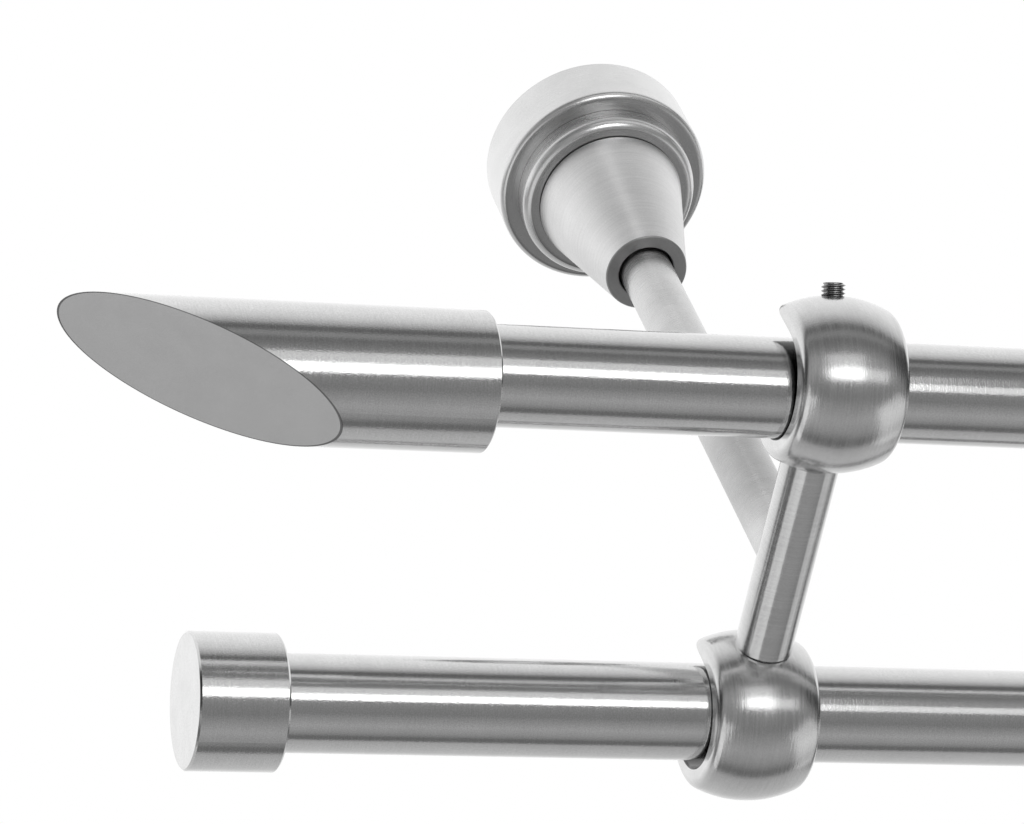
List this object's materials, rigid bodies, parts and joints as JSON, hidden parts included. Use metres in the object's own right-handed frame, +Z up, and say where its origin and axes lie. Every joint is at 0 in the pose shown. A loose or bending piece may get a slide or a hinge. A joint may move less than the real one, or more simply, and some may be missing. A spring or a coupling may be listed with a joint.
{
  "type": "double curtain rod",
  "caption": "Double curtain rod for a ceiling: satin nickel tubes in open barrel cradles on T-shaped hangers, with slant-cut finials in front and plain end caps behind.",
  "frame": {"origin": "centre of the left hanger's ceiling face", "axes": "+X along the rods from the left hanger to the right one, +Y from the room to the window, +Z up"},
  "size_m": [1.307, 0.1158, 0.185],
  "materials": {
    "satin_nickel": "brushed satin nickel plate",
    "polished_nickel": "soft polished nickel plate",
    "screw_steel": "plain turned steel",
    "plated_steel": "dull zinc plate"
  },
  "bodies": {
    "root": {"arm_left": "satin_nickel", "arm_right": "satin_nickel", "cap_left": "satin_nickel", "cap_right": "satin_nickel", "cap_screw_left": "screw_steel", "cap_screw_right": "screw_steel", "ceiling_plate_left": "plated_steel", "ceiling_plate_right": "plated_steel", "cone_left": "satin_nickel", "cone_right": "satin_nickel", "cone_screw_left": "screw_steel", "cone_screw_right": "screw_steel", "crossbar_left": "satin_nickel", "crossbar_right": "satin_nickel", "crossbar_stud_left": "screw_steel", "crossbar_stud_right": "screw_steel", "finial_left": "satin_nickel", "finial_right": "satin_nickel", "finial_screw_left": "screw_steel", "finial_screw_right": "screw_steel", "front_cradle_bolt_left": "screw_steel", "front_cradle_bolt_right": "screw_steel", "front_cradle_left": "polished_nickel", "front_cradle_right": "polished_nickel", "front_cradle_screw_left": "screw_steel", "front_cradle_screw_right": "screw_steel", "front_rod": "satin_nickel", "hanger_stud_left": "screw_steel", "hanger_stud_right": "screw_steel", "rear_cradle_bolt_left": "screw_steel", "rear_cradle_bolt_right": "screw_steel", "rear_cradle_left": "polished_nickel", "rear_cradle_right": "polished_nickel", "rear_cradle_screw_left": "screw_steel", "rear_cradle_screw_right": "screw_steel", "rear_rod": "satin_nickel", "rose_left": "satin_nickel", "rose_right": "satin_nickel"}
  },
  "joints": []
}
